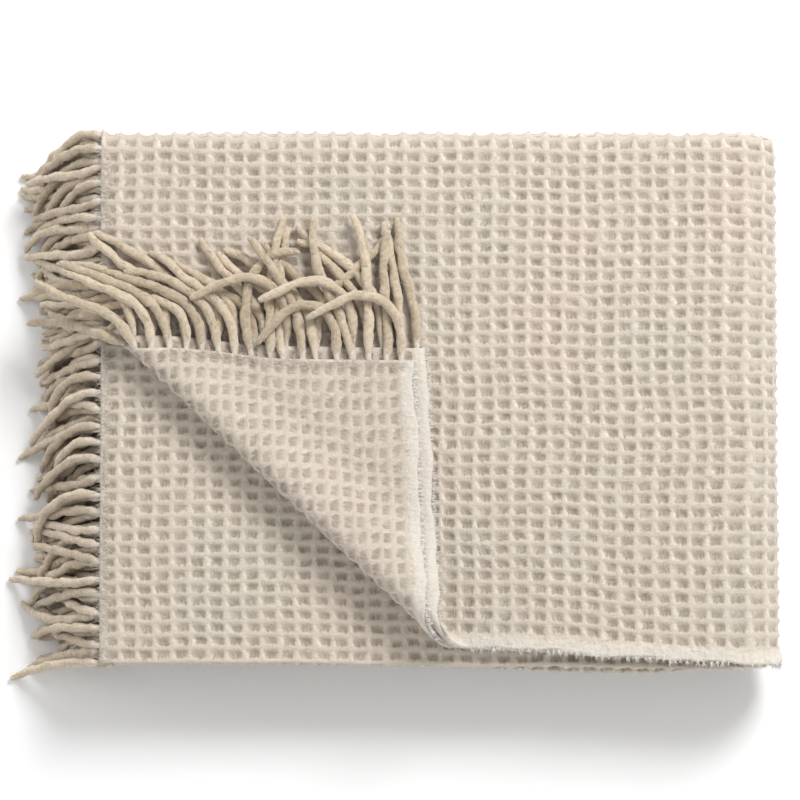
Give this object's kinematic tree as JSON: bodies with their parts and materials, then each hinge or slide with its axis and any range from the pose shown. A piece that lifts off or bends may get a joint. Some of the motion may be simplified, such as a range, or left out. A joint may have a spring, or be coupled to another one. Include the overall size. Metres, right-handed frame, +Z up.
{
  "type": "fringed throw blanket",
  "caption": "Waffle-weave wool throw blanket with fringed ends, folded flat both ways, with one corner of its upper layers turned back.",
  "frame": {"origin": "middle of the overall box, at the surface it lies on", "axes": "+X along the cloth's length away from its fringed ends, +Y towards the back fold, +Z up"},
  "size_m": [0.4672, 0.3292, 0.0803],
  "materials": {
    "wool_cloth": "brushed waffle weave, cream weft over beige warp",
    "fringe_wool": "felted twisted yarn, matt"
  },
  "bodies": {
    "root": {"throw_cloth": "wool_cloth", "fringe_upper_end": "fringe_wool", "fringe_turned_row": "fringe_wool", "fringe_turned_top_row": "fringe_wool", "fringe_under_end": "fringe_wool"}
  },
  "joints": []
}
